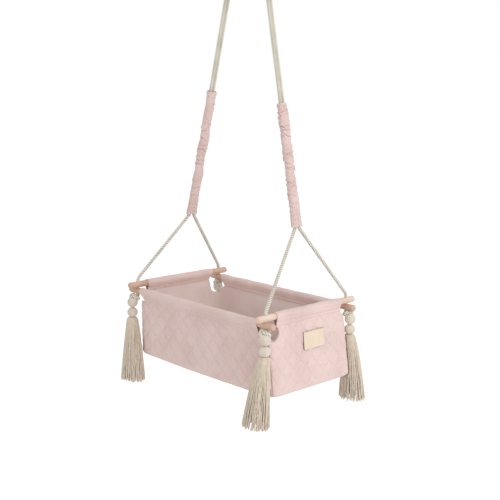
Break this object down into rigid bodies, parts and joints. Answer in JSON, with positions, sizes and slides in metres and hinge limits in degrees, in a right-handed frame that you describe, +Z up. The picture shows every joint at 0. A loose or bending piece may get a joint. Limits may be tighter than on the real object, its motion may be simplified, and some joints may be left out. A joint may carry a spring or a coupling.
{
  "type": "hanging baby cradle",
  "caption": "Quilted fabric basket in a frame of round wooden rods, hung by corner ropes with gathered sleeves and tassels from a swivel ring.",
  "frame": {"origin": "middle of the ceiling plate's top face, which hangs from the ceiling", "axes": "+Z up, +X along the basket towards the end with the tag, +Y across it towards the far side"},
  "size_m": [0.8444, 0.5864, 2.1945],
  "materials": {
    "wood": "sanded beech, clear matt finish",
    "rope": "laid cotton, undyed",
    "quilted_fabric": "padded cotton, stitched in diamonds",
    "hem_fabric": "plain cotton",
    "lining_fabric": "plain cotton",
    "sleeve_fabric": "gathered cotton",
    "board": "thin plywood, raw",
    "mattress_cover": "woven cotton cover",
    "tag": "pale plywood, matt",
    "yarn_balls": "cotton yarn wound over a ball",
    "tassel_yarn": "cut cotton yarn",
    "steel": "brushed"
  },
  "bodies": {
    "ceiling_mount": {"ceiling_plate": "steel", "plate_screw_left": "steel", "plate_screw_right": "steel", "swivel_housing": "steel"},
    "swivel": {"swivel_eye": "steel"},
    "ring": {"hanging_ring": "steel"},
    "cradle": {"gathering_wrap": "rope", "rope_front_right": "rope", "rope_front_left": "rope", "rope_back_left": "rope", "rope_back_right": "rope", "rope_turn_front": "rope", "rope_turn_back": "rope", "lashing_left": "rope", "lashing_right": "rope", "end_rod_left": "wood", "end_rod_right": "wood", "side_rod_front": "wood", "side_rod_back": "wood", "hem_right": "hem_fabric", "hem_left": "hem_fabric", "hem_front": "hem_fabric", "hem_back": "hem_fabric", "wall_front": "quilted_fabric", "wall_right": "quilted_fabric", "wall_back": "quilted_fabric", "wall_left": "quilted_fabric", "bottom_panel": "quilted_fabric", "inner_lining": "lining_fabric", "base_board": "board", "mattress": "mattress_cover", "blank_tag": "tag", "knot_front_right": "rope", "knot_front_left": "rope", "knot_back_left": "rope", "knot_back_right": "rope"},
    "sleeve_left": {"rope_sleeve_left": "sleeve_fabric"},
    "sleeve_right": {"rope_sleeve_right": "sleeve_fabric"},
    "tassel_front_right_upper": {"upper_ball_front_right": "yarn_balls"},
    "tassel_front_right_lower": {"lower_ball_front_right": "yarn_balls", "tassel_skirt_front_right": "tassel_yarn"},
    "tassel_front_left_upper": {"upper_ball_front_left": "yarn_balls"},
    "tassel_front_left_lower": {"lower_ball_front_left": "yarn_balls", "tassel_skirt_front_left": "tassel_yarn"},
    "tassel_back_left_upper": {"upper_ball_back_left": "yarn_balls"},
    "tassel_back_left_lower": {"lower_ball_back_left": "yarn_balls", "tassel_skirt_back_left": "tassel_yarn"},
    "tassel_back_right_upper": {"upper_ball_back_right": "yarn_balls"},
    "tassel_back_right_lower": {"lower_ball_back_right": "yarn_balls", "tassel_skirt_back_right": "tassel_yarn"}
  },
  "joints": [
    {"name": "swivel_turn", "type": "hinge", "parent": "ceiling_mount", "child": "swivel", "pos_m": [0, 0, -0.0233], "axis": [0, 0, 1], "continuous": true},
    {"name": "swing_sideways", "type": "hinge", "parent": "swivel", "child": "ring", "pos_m": [0, 0, -0.0618], "axis": [1, 0, 0], "range_deg": [-40, 40]},
    {"name": "swing_lengthwise", "type": "hinge", "parent": "ring", "child": "cradle", "pos_m": [0, 0, -0.12183], "axis": [0, 1, 0], "range_deg": [-40, 40]},
    {"name": "sleeve_left_slide", "type": "slide", "parent": "cradle", "child": "sleeve_left", "axis": [0.2081, 0, 0.9781], "range_m": [0, 0.72]},
    {"name": "sleeve_right_slide", "type": "slide", "parent": "cradle", "child": "sleeve_right", "axis": [-0.2109, 0, 0.9775], "range_m": [0, 0.76]},
    {"name": "tassel_front_right_along", "type": "hinge", "parent": "cradle", "child": "tassel_front_right_upper", "pos_m": [0.3742, -0.2417, -1.8742], "axis": [0, -1, 0], "range_deg": [0, 45]},
    {"name": "tassel_front_right_out", "type": "hinge", "parent": "tassel_front_right_upper", "child": "tassel_front_right_lower", "pos_m": [0.3742, -0.2417, -1.8742], "axis": [-1, 0, 0], "range_deg": [0, 45]},
    {"name": "tassel_front_left_along", "type": "hinge", "parent": "cradle", "child": "tassel_front_left_upper", "pos_m": [-0.3742, -0.2417, -1.8742], "axis": [0, 1, 0], "range_deg": [0, 45]},
    {"name": "tassel_front_left_out", "type": "hinge", "parent": "tassel_front_left_upper", "child": "tassel_front_left_lower", "pos_m": [-0.3742, -0.2417, -1.8742], "axis": [-1, 0, 0], "range_deg": [0, 45]},
    {"name": "tassel_back_left_along", "type": "hinge", "parent": "cradle", "child": "tassel_back_left_upper", "pos_m": [-0.3742, 0.2417, -1.8742], "axis": [0, 1, 0], "range_deg": [0, 45]},
    {"name": "tassel_back_left_out", "type": "hinge", "parent": "tassel_back_left_upper", "child": "tassel_back_left_lower", "pos_m": [-0.3742, 0.2417, -1.8742], "axis": [1, 0, 0], "range_deg": [0, 45]},
    {"name": "tassel_back_right_along", "type": "hinge", "parent": "cradle", "child": "tassel_back_right_upper", "pos_m": [0.3742, 0.2417, -1.8742], "axis": [0, -1, 0], "range_deg": [0, 45]},
    {"name": "tassel_back_right_out", "type": "hinge", "parent": "tassel_back_right_upper", "child": "tassel_back_right_lower", "pos_m": [0.3742, 0.2417, -1.8742], "axis": [1, 0, 0], "range_deg": [0, 45]}
  ]
}
